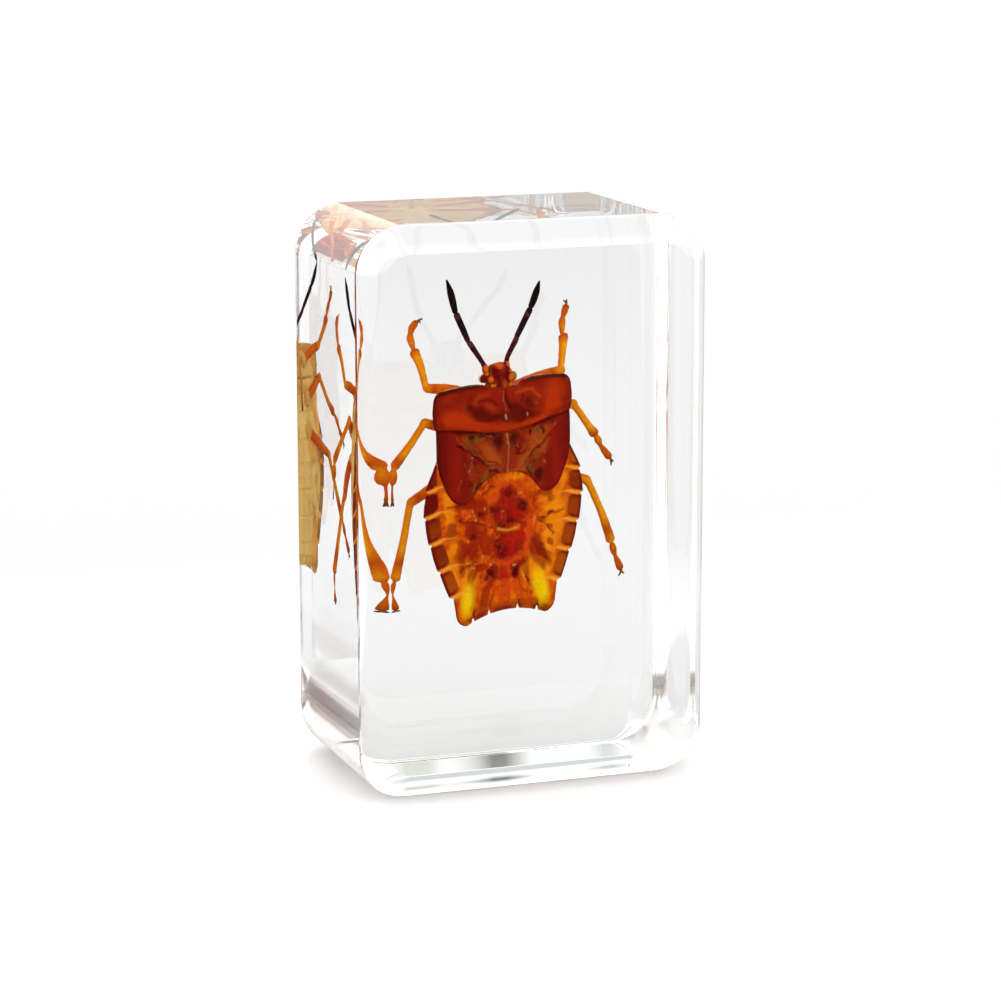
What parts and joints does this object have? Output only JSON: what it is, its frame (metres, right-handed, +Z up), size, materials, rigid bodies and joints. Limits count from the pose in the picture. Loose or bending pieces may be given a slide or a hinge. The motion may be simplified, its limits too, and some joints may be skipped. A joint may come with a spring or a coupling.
{
  "type": "insect in resin block",
  "caption": "Upright clear resin block with softly eased edges and rounded corners, with a shield bug nymph sealed flat inside it, legs and antennae spread",
  "frame": {"origin": "centre of the foot, on the surface that the block stands on", "axes": "+Z up, along the block's height; -Y is the front, the large face behind which the insect's back lies; +X to the right seen from the front"},
  "size_m": [0.028, 0.0184, 0.044],
  "materials": {
    "clear_resin": "clear cast resin, polished, IOR 1.55",
    "insect_shell": "insect shell: maroon and orange, half glossy, legs amber"
  },
  "bodies": {
    "root": {"resin_front_half": "clear_resin", "resin_back_half": "clear_resin", "shield_bug_nymph": "insect_shell"}
  },
  "joints": []
}
